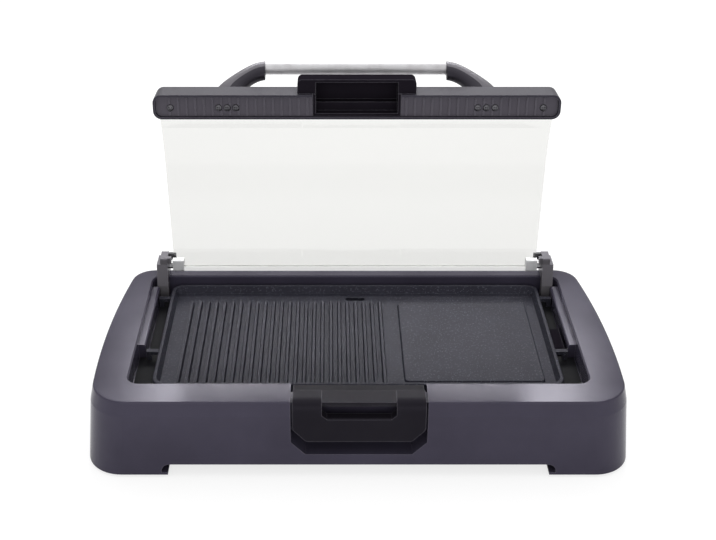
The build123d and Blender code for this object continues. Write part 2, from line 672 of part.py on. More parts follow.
def make_grip_rivets():
    """Flat-headed rivets through the tray's front flange into the grip."""
    rivets = []
    for x in GRIP_RIVET_X:
        head = Pos(x, GRIP_RIVET_Y, LEDGE_Z - 1.0) * extrude(Circle(2 * RIVET_RADIUS), 1.0)
        shank = Pos(x, GRIP_RIVET_Y, LEDGE_Z) * extrude(Circle(RIVET_RADIUS), 8.0)
        rivets.append(head + shank)
    return group(rivets)


# ---- grill plate and heating element ------------------------------------------
def make_grill_plate():
    """Cast plate: rim, gutter, ridges on the left, raised griddle on the right."""
    underside = PLATE_FLOOR_Z - PLATE_THICK
    blank = plate_between(PLATE_HALF, PLATE_FRONT, PLATE_BACK, PLATE_RADIUS, underside, PLATE_RIM_Z)
    blank = fillet(blank.edges().group_by(Axis.Z)[-1], PLATE_RIM_ROUNDING)
    blank = chamfer(blank.edges().group_by(Axis.Z)[0], PLATE_BEVEL)
    rim = PLATE_RIM_WIDTH
    foot = rim + PLATE_WALL_DRAFT
    floor_face = Pos(0, 0, PLATE_FLOOR_Z) * rounded_plan(
        PLATE_HALF - foot, PLATE_FRONT + foot, PLATE_BACK - foot, PLATE_INNER_RADII[0])
    mouth_face = Pos(0, 0, PLATE_RIM_Z) * rounded_plan(
        PLATE_HALF - rim, PLATE_FRONT + rim, PLATE_BACK - rim, PLATE_INNER_RADII[1])
    plate = blank - loft([floor_face, mouth_face], ruled=True)
    for step in range(RIDGE_COUNT):
        plate += Pos(RIDGE_FIRST_X + step * RIDGE_PITCH, 0, 0) * plate_ridge()
    plate += raised_griddle()
    for side in (-1, 1):
        for y in LUG_Y:
            plate += plate_lug(side, y)
    for x, y in clamp_places():
        plate -= clamp_bores(x, y)
    drain = Pos(*DRAIN_PLACE) * extrude(SlotOverall(*DRAIN_SIZE), 100.0, both=True)
    return plate - drain


def plate_ridge():
    """One cooking ridge: drafted sides, sloped ends."""
    front, back = RIDGE_FRONT, GRIDDLE_Y[1]
    foot = Pos(0, (front + back) / 2, PLATE_FLOOR_Z - 0.5) * Rectangle(RIDGE_WIDTHS[0], back - front)
    crest_length = back - front - 5.0
    crest = Pos(0, (front + back) / 2, RIDGE_TOP_Z) * Rectangle(RIDGE_WIDTHS[1], crest_length)
    return loft([foot, crest], ruled=True)


def raised_griddle():
    """The flat cooking area, a step above the gutter."""
    left, right = GRIDDLE_X
    front, back = GRIDDLE_Y
    centre = ((left + right) / 2, (front + back) / 2)
    size = (right - left, back - front)
    lean = GRIDDLE_SLOPE
    foot = Pos(*centre, PLATE_FLOOR_Z - 0.5) * RectangleRounded(*size, GRIDDLE_RADIUS)
    top = Pos(*centre, GRIDDLE_Z) * RectangleRounded(
        size[0] - 2 * lean, size[1] - 2 * lean, GRIDDLE_RADIUS - lean)
    griddle = loft([foot, top], ruled=True)
    return fillet(griddle.edges().group_by(Axis.Z)[-1], GRIDDLE_ROUNDING)


def plate_lug(side, y):
    """A lug over the side gap, with a leg down to the tray's flange."""
    reach = sorted((side * (PLATE_HALF - 2.0), side * LUG_REACH))
    across = (y - LUG_WIDTH / 2, y + LUG_WIDTH / 2)
    arm = box_between(reach, across, LUG_ARM_Z)
    foot = sorted((side * (LUG_REACH - LUG_LEG), side * LUG_REACH))
    leg = box_between(foot, across, (LEDGE_Z + TRAY_FLANGE, LUG_ARM_Z[1]))
    return arm + leg


def element_path():
    """The tube's centre line: from one terminal, in a double loop, to the other."""
    first, second, third, fourth = ELEMENT_ROWS
    near = TERMINAL_Y - TERMINAL_GAP / 2
    far = TERMINAL_Y + TERMINAL_GAP / 2
    points = [
        (TERMINAL_FACE_X, near), (ELEMENT_RIGHT, near), (ELEMENT_RIGHT, first), (ELEMENT_LEFT, first),
        (ELEMENT_LEFT, second), (ELEMENT_INNER, second), (ELEMENT_INNER, third),
        (ELEMENT_LEFT, third), (ELEMENT_LEFT, fourth), (ELEMENT_RIGHT, fourth),
        (ELEMENT_RIGHT, far), (TERMINAL_FACE_X, far),
    ]
    return FilletPolyline(*[(x, y, ELEMENT_Z) for x, y in points], radius=ELEMENT_BEND)


def make_heating_element():
    """Sheathed tube bent in one plane against the plate's underside."""
    path = element_path()
    section = Plane(origin=path @ 0, z_dir=path % 0) * Circle(ELEMENT_RADIUS - 0.1)
    return sweep(section, path=path)


def clamp_places():
    """Middles of the straps that hold the element against the plate."""
    return [(x, y) for x in CLAMP_X for y in (ELEMENT_ROWS[0], ELEMENT_ROWS[3])]


def make_element_clamps():
    """Pressed saddle straps over the tube."""
    straps = []
    under = PLATE_FLOOR_Z - PLATE_THICK
    for x, y in clamp_places():
        along = (x - CLAMP_WIDTH / 2, x + CLAMP_WIDTH / 2)
        saddle = (y - CLAMP_SADDLE_HALF, y + CLAMP_SADDLE_HALF)
        arch = box_between(along, saddle, (ELEMENT_Z - CLAMP_SADDLE_HALF, under))
        ears = box_between(along, (y - CLAMP_EAR_END, y + CLAMP_EAR_END), (under - CLAMP_THICK, under))
        tube = Pos(x, y, ELEMENT_Z) * Rot(0, 90, 0) * Cylinder(ELEMENT_RADIUS, 3 * CLAMP_WIDTH)
        channel = (y - ELEMENT_RADIUS, y + ELEMENT_RADIUS)
        above = box_between((x - CLAMP_WIDTH, x + CLAMP_WIDTH), channel, (ELEMENT_Z, under + 1.0))
        straps.append(arch + ears - tube - above - clamp_bores(x, y))
    return group(straps)


def clamp_bores(x, y):
    """Pilot holes for the two screws of one strap."""
    low = PLATE_FLOOR_Z - PLATE_THICK - CLAMP_THICK
    hole = extrude(Circle(CLAMP_SCREW_RADIUS), CLAMP_SCREW_LENGTH)
    near, far = CLAMP_EARS
    return Pos(x, y + near, low) * hole + Pos(x, y + far, low) * hole


def make_clamp_screws():
    """One screw in each ear of the straps."""
    turned = Rot(180, 0, 0) * screw(CLAMP_SCREW_LENGTH, 2.8, CLAMP_SCREW_RADIUS)
    z = PLATE_FLOOR_Z - PLATE_THICK - CLAMP_THICK
    return group([Pos(x, y + ear, z) * turned for x, y in clamp_places() for ear in CLAMP_EARS])


def make_terminal_shroud():
    """Heat-proof block that holds the element's ends opposite the inlet."""
    half = TERMINAL_GAP / 2 + 8.0
    y = (TERMINAL_Y - half, TERMINAL_Y + half)
    z = (INLET_Z - SHROUD_HALF_HEIGHT, INLET_Z + SHROUD_HALF_HEIGHT)
    block = box_between(SHROUD_X, y, z)
    block = fillet(block.edges().filter_by(Axis.X), 3.0)
    for offset in (-TERMINAL_GAP / 2, TERMINAL_GAP / 2):
        bore = Rot(0, 90, 0) * Cylinder(BUSH_RADIUS, 80.0)
        block -= Pos(SHROUD_X[0], TERMINAL_Y + offset, ELEMENT_Z) * bore
    return block


def make_ceramic_bushes():
    """Insulating rings between the tube's ends and the shroud."""
    rings = []
    for offset in (-TERMINAL_GAP / 2, TERMINAL_GAP / 2):
        plane = Plane.YZ.offset(SHROUD_X[0]) * Pos(TERMINAL_Y + offset, ELEMENT_Z)
        ring = Circle(BUSH_RADIUS) - Circle(PIN_BORE_RADIUS)
        rings.append(extrude(plane * ring, SHROUD_X[1] - SHROUD_X[0] - BUSH_RECESS))
    return group(rings)


def make_terminal_pins():
    """Round contact pins that the connector pushes onto."""
    pins = []
    for offset in (-TERMINAL_GAP / 2, TERMINAL_GAP / 2):
        plane = Plane.YZ.offset(TERMINAL_FACE_X) * Pos(TERMINAL_Y + offset, ELEMENT_Z)
        pin = extrude(plane * Circle(PIN_BORE_RADIUS), TERMINAL_PIN_LENGTH)
        pins.append(fillet(pin.edges().group_by(Axis.X)[-1], TERMINAL_PIN_ROUNDING))
    return group(pins)


# ---- lid, modelled closed with its pivot at the origin ------------------------
def opened(shape):
    """Put a lid piece, modelled closed about the pivot, in its open place."""
    return Pos(0, PIVOT_Y, PIVOT_Z) * Rot(-OPEN_ANGLE, 0, 0) * shape


def glass_line(offset=0.0):
    """Side view of the bent panel: straight behind, rolled down at the front."""
    points = [
        (GLASS_TAIL, -GLASS_TAIL * GLASS_SLOPE + offset),
        (-GLASS_BEND_REACH, GLASS_BEND_REACH * GLASS_SLOPE + offset),
        (-GLASS_FRONT_REACH, GLASS_FRONT_LIFT + offset),
    ]
    return FilletPolyline(*points, radius=GLASS_BEND_RADIUS - offset)


def glass_band(low, high, rear_half=GLASS_REAR_HALF, front_reach=GLASS_PAST_FRONT):
    """The bent panel's solid between two offsets from its middle line."""
    lower = glass_line(low)
    upper = glass_line(high)
    ends = [Line(lower @ 0, upper @ 0), Line(lower @ 1, upper @ 1)]
    side_view = make_face([*lower.edges(), *upper.edges(), *ends])
    band = extrude(Plane.YZ * side_view, 2 * GLASS_FRONT_HALF, both=True)
    plan = Polyline(
        (-rear_half, GLASS_PAST_TAIL), (rear_half, GLASS_PAST_TAIL),
        (GLASS_FRONT_HALF, -front_reach), (-GLASS_FRONT_HALF, -front_reach), close=True,
    )
    return band & (Pos(0, 0, -60.0) * extrude(make_face(plan), 120.0))


def make_lid_glass():
    """Tempered panel, bent along its front third, wider at the front."""
    half = GLASS_THICK / 2
    glass = glass_band(-half, half)
    for side in (-1, 1):
        x = sorted((side * LUG_X[0], side * (GLASS_REAR_HALF + 5.0)))
        glass -= box_between(x, (-LUG_FRONT, GLASS_TAIL + 8.0), (-20.0, 20.0))
    return glass


def frame_blank(inset=0.0):
    """The frame bar's rounded outer block, or an inner block inset from it."""
    return Pos(0, 0, FRAME_LOW) * extrude(
        rounded_plan(FRAME_HALF - inset, -LID_REACH + inset, -FRAME_BACK - inset, FRAME_RADIUS - inset),
        FRAME_HIGH - FRAME_LOW,
    )


def arm_screw_places():
    """Three screws from the frame up into each handle arm, on the right side."""
    middle = sum(ARM_FOOT) / 2
    return [middle + step * ARM_SCREW_PITCH for step in (-1, 0, 1)]


def frame_screw_places():
    """All the screws seen inside the frame: the arms' and one at each end."""
    places = [*arm_screw_places(), FRAME_END_SCREW_X]
    return [(side * x, -FRAME_SCREW_REACH) for side in (-1, 1) for x in places]


def make_lid_frame():
    """Moulded front bar: open below, with screw bosses, grooved behind for the glass."""
    frame = frame_blank()
    frame = fillet(frame.edges().group_by(Axis.Z)[-1], FRAME_ROUNDINGS[0])
    frame = fillet(frame.edges().group_by(Axis.Z)[0], FRAME_ROUNDINGS[1])
    roof = GROOVE_Z[0] - FRAME_WALL
    low, high = FRAME_COVER_Z
    frame -= frame_blank(FRAME_WALL) & box_between((-BEYOND, BEYOND), (-BEYOND, 0), (-40, roof))
    upper_front = box_between(
        (-FRAME_HALF + 12.0, FRAME_HALF - 12.0), (-LID_REACH + FRAME_WALL, -GROOVE_REACH - FRAME_WALL),
        (0.0, FRAME_HIGH - FRAME_WALL))
    frame -= upper_front
    for x, y in frame_screw_places():
        boss = extrude(Circle(FRAME_BOSS_RADIUS), FRAME_HIGH - FRAME_WALL - high + 1.0)
        bore = extrude(Circle(FRAME_SCREW_RADIUS), frame_screw_top(x) - high + 1.0)
        frame = frame + Pos(x, y, high) * boss - Pos(x, y, high - 1.0) * bore
    frame -= box_between((-BEYOND, BEYOND), (-GROOVE_REACH, -FRAME_BACK + 1.0), GROOVE_Z)
    middle = (-HOOD_INNER_HALF - HOOD_WALL, HOOD_INNER_HALF + HOOD_WALL)
    frame -= box_between(middle, (-BEYOND, -FRAME_BACK - FRAME_WALL), (-40.0, roof))
    return frame - box_between(middle, (-BEYOND, -GROOVE_REACH - FRAME_WALL), (-40.0, HOOD_TOP))


def frame_screw_top(x):
    """Arm screws run on into the arms; end screws stop inside the frame."""
    return ARM_SCREW_TOP if abs(x) < FRAME_END_SCREW_X else FRAME_HIGH - FRAME_WALL


def make_frame_cover(side):
    """Ribbed strip that closes one half of the frame from below, under the screws."""
    low, high = FRAME_COVER_Z
    gap = FRAME_COVER_GAP
    inner_end = HOOD_INNER_HALF + HOOD_WALL + gap
    half = box_between((inner_end, BEYOND), (-BEYOND, 0), (low, high))
    cover = frame_blank(FRAME_WALL + gap) & half
    width, height = RIB_SIZE
    limits = (-LID_REACH + FRAME_WALL + gap + 1.0, -FRAME_BACK - FRAME_WALL - gap - 1.0)
    count = int((FRAME_HALF - FRAME_RADIUS - inner_end) // RIB_PITCH)
    for step in range(count):
        x = inner_end + RIB_PITCH * (step + 0.6)
        cover += box_between((x - width / 2, x + width / 2), limits, (low - height, low))
    for x in (*arm_screw_places(), FRAME_END_SCREW_X):
        seat = extrude(Circle(SCREW_HEAD_RADIUS + 0.5), height)
        bore = extrude(Circle(FRAME_SCREW_RADIUS + 0.1), high - low)
        cover -= Pos(x, -FRAME_SCREW_REACH, low - height) * seat
        cover -= Pos(x, -FRAME_SCREW_REACH, low) * bore
    return cover if side > 0 else mirror(cover, about=Plane.YZ)


def make_glass_seal():
    """Silicone strip that beds the glass's front edge in the frame's groove."""
    strip = box_between((-SEAL_HALF, SEAL_HALF), (-GROOVE_REACH, -FRAME_BACK), GROOVE_Z)
    strip = strip & frame_blank(0.4)
    half = GLASS_THICK / 2
    strip -= glass_band(-half, half)
    return strip


def make_notch_hood():
    """Centre hood of the lid: covers the rim's notch and is hollow underneath."""
    back = -FRAME_BACK - FRAME_WALL - 0.2
    front = -HOOD_REACH
    joint = -LID_REACH
    roof = GROOVE_Z[0] - FRAME_WALL
    hood = box_between((-HOOD_HALF, HOOD_HALF), (front, joint), (HOOD_LOW, HOOD_TOP))
    hood = fillet(hood.edges().filter_by(Axis.Z).group_by(Axis.Y)[0], HOOD_ROUNDINGS[0])
    hood = fillet(hood.edges().group_by(Axis.Z)[-1].sort_by(Axis.Y)[0], HOOD_ROUNDINGS[1])
    neck = HOOD_INNER_HALF + HOOD_WALL - 0.1
    hood += box_between((-neck, neck), (joint - 0.1, back), (FRAME_COVER_Z[0], HOOD_TOP))
    hood -= box_between((-neck, neck), (-GROOVE_REACH - FRAME_WALL, 0), (roof, 40.0))
    inside = (-HOOD_INNER_HALF, HOOD_INNER_HALF)
    hollow = box_between(inside, (front + HOOD_WALL, back - HOOD_WALL), (-20.0, HOOD_TOP - HOOD_WALL))
    hollow -= box_between(inside, (-GROOVE_REACH - FRAME_WALL - HOOD_WALL, 0), (roof - 2.0, 40.0))
    return hood - hollow


def make_frame_screws():
    """Bright screws up into the frame, in view while the lid is open."""
    screws = []
    seat = FRAME_COVER_Z[0]
    for x, y in frame_screw_places():
        pointing_down = screw(frame_screw_top(x) - seat, SCREW_HEAD_RADIUS, FRAME_SCREW_RADIUS)
        screws.append(Pos(x, y, seat) * Rot(180, 0, 0) * pointing_down)
    return group(screws)


def along_bar(radius, half):
    """A round body on the handle bar's axis."""
    return Pos(0, -BAR_REACH, BAR_LIFT) * Rot(0, 90, 0) * Cylinder(radius, 2 * half)


def make_handle_bar():
    """Metal tube grip between the arms, with a turned-down spigot let into each."""
    tube = along_bar(BAR_RADIUS, BAR_HALF - ARM_OVERLAP)
    tube = chamfer(tube.edges().filter_by(GeomType.CIRCLE), BAR_BEVEL)
    return tube + along_bar(BAR_SPIGOT_RADIUS, BAR_HALF)


def make_handle_arm(side):
    """Curved moulded arm: wide foot on the frame, its end flush with the bar."""
    foot_in, foot_out = ARM_FOOT
    rise = math.hypot(BAR_LIFT - FRAME_HIGH, BAR_REACH - ARM_REACH)
    tilt = math.atan2(BAR_REACH - ARM_REACH, BAR_LIFT - FRAME_HIGH)
    end_x = BAR_HALF - ARM_OVERLAP
    low, high = (rise + span for span in COLLAR_SPAN)
    outside = Spline(
        (foot_out, -9.0), (foot_out - 3.0, 5.0), (foot_out - 14.0, rise / 2), (end_x + 24.0, rise - 9.0),
        (end_x + 12.0, high - 4.5), (end_x, high), tangents=((0, 1), (-1, 0.12)))
    inside = Spline(
        (end_x, low), (end_x + 10.0, low - 5.5), (foot_in - 6.0, low - 14.0), (foot_in, -9.0),
        tangents=((1, -0.12), (0, -1)))
    outline = [outside, Line(outside @ 1, inside @ 0), inside, Line(inside @ 1, outside @ 0)]
    plane = Plane(
        origin=(0, -ARM_REACH, FRAME_HIGH), x_dir=(1, 0, 0), z_dir=(0, -math.cos(tilt), -math.sin(tilt)))
    arm = extrude(plane * make_face(outline), ARM_THICK / 2, both=True)
    long_edges = arm.edges().filter_by(GeomType.BSPLINE)
    arm = fillet(long_edges, ARM_ROUNDING)
    arm -= box_between((0, BEYOND), (-BEYOND, BEYOND), (-60.0, FRAME_HIGH))
    arm -= along_bar(BAR_SPIGOT_RADIUS, BAR_HALF)
    for x in arm_screw_places():
        hole = extrude(Circle(FRAME_SCREW_RADIUS), ARM_SCREW_TOP - FRAME_HIGH)
        arm -= Pos(x, -FRAME_SCREW_REACH, FRAME_HIGH) * hole
    return arm if side > 0 else mirror(arm, about=Plane.YZ)


def make_edge_strip():
    """Pale silicone strip folded over the glass's rear edge, between the lugs."""
    half = GLASS_THICK / 2
    wall = EDGE_STRIP_WALL
    outer = glass_band(-half - wall, half + wall, LUG_X[0], GLASS_FRONT_REACH)
    inner = glass_band(-half, half, GLASS_REAR_HALF + 5.0, GLASS_FRONT_REACH)
    between_lugs = (-LUG_X[0], LUG_X[0])
    near = box_between(between_lugs, (EDGE_STRIP_FRONT, GLASS_TAIL + 2.0), (-20.0, 20.0))
    strip = (outer - inner) & near
    drop = GLASS_TAIL * GLASS_SLOPE
    fold = (-half - wall - drop, half + wall - drop)
    back = box_between(between_lugs, (GLASS_TAIL, GLASS_TAIL + wall), fold)
    return strip + (back - inner)


def make_hinge_lug(side):
    """Metal block in the glass's rear corner, bored for the hinge pin."""
    x = sorted((side * LUG_X[0], side * LUG_X[1]))
    lug = box_between(x, (-LUG_FRONT, GLASS_TAIL + 1.0), LUG_Z)
    lug = fillet(lug.edges().filter_by(Axis.X), 1.5)
    lug -= Rot(0, 90, 0) * Cylinder(PIN_RADIUS, 600.0)
    return lug


def make_hinge_pin(side):
    """Steel pin pressed in the lug and turning in the post."""
    inner_x = LUG_X[0] + 1.0
    outer_x = POST_X[0] + PIN_LENGTH_IN_POST
    x = side * (inner_x + outer_x) / 2
    pin = Pos(x, 0, 0) * Rot(0, 90, 0) * Cylinder(PIN_RADIUS, outer_x - inner_x)
    ends = pin.edges().filter_by(GeomType.CIRCLE)
    return chamfer(ends, 0.5)


# ---- assembly -----------------------------------------------------------------
def base_pieces():
    return {
        "housing": make_housing(),
        "bottom_cover": make_bottom_cover(),
        "cover_screws": make_cover_screws(),
        "foot_pads": make_foot_pads(),
        "heat_reflector": make_heat_reflector(),
        "inlet_bezel": make_inlet_bezel(),
        "hinge_post_left": make_hinge_post(-1),
        "hinge_post_right": make_hinge_post(1),
        "post_screws": make_post_screws(),
        "rest_bumpers": make_rest_bumpers(),
    }


def tray_pieces():
    return {
        "drip_tray": make_drip_tray(),
        "tray_grip": make_tray_grip(),
        "grip_rivets": make_grip_rivets(),
    }


def plate_pieces():
    return {
        "grill_plate": make_grill_plate(),
        "heating_element": make_heating_element(),
        "element_clamps": make_element_clamps(),
        "clamp_screws": make_clamp_screws(),
        "terminal_shroud": make_terminal_shroud(),
        "ceramic_bushes": make_ceramic_bushes(),
        "terminal_pins": make_terminal_pins(),
    }


def lid_pieces():
    closed = {
        "lid_glass": make_lid_glass(),
        "lid_frame": make_lid_frame(),
        "frame_cover_left": make_frame_cover(-1),
        "frame_cover_right": make_frame_cover(1),
        "glass_seal": make_glass_seal(),
        "notch_hood": make_notch_hood(),
        "frame_screws": make_frame_screws(),
        "handle_bar": make_handle_bar(),
        "handle_arm_left": make_handle_arm(-1),
        "handle_arm_right": make_handle_arm(1),
        "glass_edge_strip": make_edge_strip(),
        "hinge_lug_left": make_hinge_lug(-1),
        "hinge_lug_right": make_hinge_lug(1),
        "hinge_pin_left": make_hinge_pin(-1),
        "hinge_pin_right": make_hinge_pin(1),
    }
    return {name: opened(piece) for name, piece in closed.items()}


def write_pieces(pieces):
    """Centre the whole object over the origin and write each piece."""
    boxes = [piece.bounding_box() for piece in pieces.values()]
    middle = (min(box.min.Y for box in boxes) + max(box.max.Y for box in boxes)) / 2
    for name, piece in pieces.items():
        solids = [Pos(0, -middle, 0) * solid for solid in piece.solids()]
        whole = solids[0] if len(solids) == 1 else Compound(children=solids)
        export_step(whole, f"parts/{name}.step")
    print(f"pieces {len(pieces)}, moved along Y by {-middle:.4f}")
    print(f"lid pivot at Y {PIVOT_Y - middle:.4f}, Z {PIVOT_Z:.1f}")


write_pieces({**base_pieces(), **tray_pieces(), **plate_pieces(), **lid_pieces()})
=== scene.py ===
import math

import bmesh
import bpy
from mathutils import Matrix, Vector


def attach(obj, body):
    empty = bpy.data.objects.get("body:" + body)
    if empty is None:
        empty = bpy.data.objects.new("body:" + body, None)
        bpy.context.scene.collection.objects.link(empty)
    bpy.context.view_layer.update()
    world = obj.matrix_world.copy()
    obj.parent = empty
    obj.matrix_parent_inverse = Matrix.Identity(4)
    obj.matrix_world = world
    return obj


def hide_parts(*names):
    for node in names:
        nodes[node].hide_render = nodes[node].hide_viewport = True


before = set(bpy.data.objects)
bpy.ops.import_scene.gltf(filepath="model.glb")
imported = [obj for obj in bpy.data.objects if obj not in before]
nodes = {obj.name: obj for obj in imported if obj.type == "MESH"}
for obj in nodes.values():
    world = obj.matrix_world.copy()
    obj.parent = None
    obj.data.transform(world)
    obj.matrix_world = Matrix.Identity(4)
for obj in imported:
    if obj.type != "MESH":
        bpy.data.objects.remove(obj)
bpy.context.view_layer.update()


# ---- Table, studio and camera ------------------------------------------------------------
# The grill stands on a plain white table in a white studio. A wide soft lamp hangs high above
# it, one stands low in front, one stands higher up behind, and a weak one stands at its left.

def from_screen(red, green, blue):
    """Linear colour, with alpha, for a colour given as the screen shows it, 0 to 255."""
    def linear(value):
        share = value / 255
        return share / 12.92 if share <= 0.04045 else ((share + 0.055) / 1.055) ** 2.4
    return (linear(red), linear(green), linear(blue), 1.0)


class Channel:
    """One output socket of a finish. Sums, products and comparisons of channels add Math nodes."""

    def __init__(self, finish, socket):
        self.finish = finish
        self.socket = socket

    def math(self, operation, *values):
        settings = {"operation": operation}
        return self.finish.node("ShaderNodeMath", settings, dict(enumerate(values)))

    def __add__(self, other):
        return self.math("ADD", self, other)

    def __radd__(self, other):
        return self.math("ADD", other, self)

    def __sub__(self, other):
        return self.math("SUBTRACT", self, other)

    def __rsub__(self, other):
        return self.math("SUBTRACT", other, self)

    def __mul__(self, other):
        return self.math("MULTIPLY", self, other)

    def __rmul__(self, other):
        return self.math("MULTIPLY", other, self)

    def __truediv__(self, other):
        return self.math("DIVIDE", self, other)

    def __rtruediv__(self, other):
        return self.math("DIVIDE", other, self)

    def __gt__(self, other):
        return self.math("GREATER_THAN", self, other)

    def __lt__(self, other):
        return self.math("LESS_THAN", self, other)

    def larger(self, other):
        return self.math("MAXIMUM", self, other)

    def smaller(self, other):
        return self.math("MINIMUM", self, other)

    def between(self, low, high):
        """0 below low, 1 above high, and a straight ramp from one to the other."""
        return ((self - low) / (high - low)).larger(0.0).smaller(1.0)


class Finish:
    """A material, or the world. Its method node adds any node, and the others work through it."""

    def __init__(self, name, world=None):
        self.data = world or bpy.data.materials.new(name)
        self.data.use_nodes = True
        self.tree = self.data.node_tree
        self.tree.nodes.clear()

    def node(self, kind, settings=None, sockets=None, output=0):
        """Adds a node with these settings and sockets, and gives back an output as a Channel."""
        made = self.tree.nodes.new(kind)
        for name, value in (settings or {}).items():
            setattr(made, name, value)
        for name, value in (sockets or {}).items():
            if isinstance(value, Channel):
                self.tree.links.new(value.socket, made.inputs[name])
            else:
                made.inputs[name].default_value = value
        return Channel(self, made.outputs[output]) if made.outputs else None

    def place(self):
        """Where the surface is, in metres in the grill's own frame."""
        return self.node("ShaderNodeTexCoord", output="Object")

    def noise(self, size, detail=2.0, rough=0.5, stretch=(1.0, 1.0, 1.0)):
        """Soft random patches of about this size, in metres, drawn out along an axis by stretch."""
        spread = [1 / (size * pull) for pull in stretch]
        point = self.node("ShaderNodeVectorMath", {"operation": "MULTIPLY"},
                          {0: self.place(), 1: spread})
        return self.node("ShaderNodeTexNoise", None,
                         {"Vector": point, "Scale": 1.0, "Detail": detail, "Roughness": rough})

    def tint(self, share, first, second):
        """The first colour where share is 0, the second where it is 1."""
        return self.node("ShaderNodeMix", {"data_type": "RGBA"},
                         {0: share, 6: first, 7: second}, output=2)

    def edge_wear_and_highlight_mask(self, radius):
        """1 on sharp outer edges, within about this radius, and 0 on flat faces."""
        soft = self.node("ShaderNodeBevel", {"samples": 4}, {"Radius": radius})
        true = self.node("ShaderNodeNewGeometry", output="Normal")
        kept = self.node("ShaderNodeVectorMath", {"operation": "DOT_PRODUCT"},
                         {0: soft, 1: true}, output="Value")
        return 1.0 - kept

    def bump(self, height, depth):
        """A normal for a relief of this depth, in metres, where height goes from 0 to 1."""
        return self.node("ShaderNodeBump", None,
                         {"Height": height, "Distance": depth, "Strength": 1.0})

    def shader(self, **sockets):
        """The Principled shader. In the names of its sockets _ stands for a gap."""
        named = {name.replace("_", " "): value for name, value in sockets.items()}
        return self.node("ShaderNodeBsdfPrincipled", None, named)

    def finished(self, shader):
        """The material itself, once this shader is joined to its output."""
        self.node("ShaderNodeOutputMaterial", None, {"Surface": shader})
        return self.data


def seen_directly(finish):
    """1 for what the eye sees, also through glass, and 0 for light that falls on things."""
    seen = finish.node("ShaderNodeLightPath", output="Is Camera Ray")
    return seen.larger(finish.node("ShaderNodeLightPath", output="Is Transmission Ray"))


ROOM_LIGHT = 0.78


def studio_world():
    """Soft light all round, a little under white, in a room that the eye sees as white."""
    world = bpy.data.worlds.new("studio")
    bpy.context.scene.world = world
    finish = Finish("studio", world)
    strength = ROOM_LIGHT + seen_directly(finish) * (1.0 - ROOM_LIGHT)
    sky = finish.node("ShaderNodeBackground", None, {"Color": (1, 1, 1, 1), "Strength": strength})
    finish.node("ShaderNodeOutputWorld", None, {"Surface": sky})


studio_world()

TABLE_WIDTH = 14.0
TABLE_WHITE = from_screen(232, 232, 232)
TABLE_CLOUDED = from_screen(230, 230, 231)
TABLE_SEEN = from_screen(150, 150, 150)
TABLE_GLOW = (0.74, 0.74, 0.74, 1.0)


def table_finish():
    """White, and to the eye as if lit from below as well, which leaves a faint soft shadow."""
    finish = Finish("white_table")
    cloud = finish.noise(size=0.6, detail=1.0)
    seen = seen_directly(finish)
    white = finish.tint(cloud, TABLE_WHITE, TABLE_CLOUDED)
    glow = finish.tint(seen, (0.0, 0.0, 0.0, 1.0), TABLE_GLOW)
    return finish.finished(finish.shader(
        Base_Color=finish.tint(seen, white, TABLE_SEEN),
        Emission_Color=glow, Emission_Strength=1.0,
        Roughness=0.9, Specular_IOR_Level=0.1))


def made_from(name, skin, *finishes):
    """A new object with the mesh drawn in skin and these materials."""
    mesh = bpy.data.meshes.new(name)
    skin.to_mesh(mesh)
    skin.free()
    for finish in finishes:
        mesh.materials.append(finish)
    made = bpy.data.objects.new(name, mesh)
    bpy.context.scene.collection.objects.link(made)
    return made


def white_table():
    sheet = bmesh.new()
    bmesh.ops.create_grid(sheet, x_segments=1, y_segments=1, size=TABLE_WIDTH / 2)
    made_from("table_top", sheet, table_finish())


white_table()


LAMP_AIM = Vector((0.0, 0.0, 0.08))


def soft_lamp(name, place, width, depth, watts):
    """A rectangular soft lamp at place, turned to face the grill."""
    lamp = bpy.data.lights.new(name, "AREA")
    lamp.shape = "RECTANGLE"
    lamp.size = width
    lamp.size_y = depth
    lamp.energy = watts
    made = bpy.data.objects.new(name, lamp)
    bpy.context.scene.collection.objects.link(made)
    made.location = place
    made.rotation_mode = "QUATERNION"
    made.rotation_quaternion = (LAMP_AIM - Vector(place)).to_track_quat("-Z", "Y")


soft_lamp("front_lamp", (0.1, -1.9, 0.85), width=2.4, depth=1.0, watts=9)
soft_lamp("top_lamp", (0.0, 0.0, 2.4), width=2.6, depth=2.2, watts=12)
soft_lamp("back_lamp", (0.05, 1.25, 1.24), width=1.12, depth=0.48, watts=19)
soft_lamp("left_lamp", (-2.2, -0.3, 1.2), width=1.2, depth=1.6, watts=2)

CAMERA_FOCUS_PX = 1150.0
PHOTO_WIDTH_PX = 716
AXIS_PX = 330.0
SENSOR_WIDTH = 36.0      # in millimetres
CAMERA_NEAR = 0.05
CAMERA_FAR = 40.0
CAMERA_PITCH = math.radians(30.2)
CAMERA_PLACE = (-0.028, -1.0363, 0.744)


def photo_camera():
    """Looks at the grill from where the photograph was taken."""
    camera = bpy.data.cameras.new("photo_camera")
    camera.sensor_width = SENSOR_WIDTH
    camera.lens = SENSOR_WIDTH * CAMERA_FOCUS_PX / PHOTO_WIDTH_PX
    camera.shift_x = (PHOTO_WIDTH_PX / 2 - AXIS_PX) / PHOTO_WIDTH_PX
    camera.clip_start = CAMERA_NEAR
    camera.clip_end = CAMERA_FAR
    made = bpy.data.objects.new("photo_camera", camera)
    bpy.context.scene.collection.objects.link(made)
    made.location = CAMERA_PLACE
    made.rotation_euler = (math.pi / 2 - CAMERA_PITCH, 0.0, 0.0)
    bpy.context.scene.camera = made


photo_camera()
bpy.context.scene.view_settings.view_transform = "Standard"


# ---- Base housing ------------------------------------------------------------------------
# The outer shell that carries everything, injection moulded in dark slate heat-resistant
# plastic. Its skin has the fine spark-eroded grain of the mould. Its edges shine a little, and
# are painted paler, partly as wear and partly as painted highlight.

def dress(finish, *names):
    """Gives the CAD nodes of these names this material alone."""
    for name in names:
        slots = nodes[name].data.materials
        slots.clear()
        slots.append(finish)


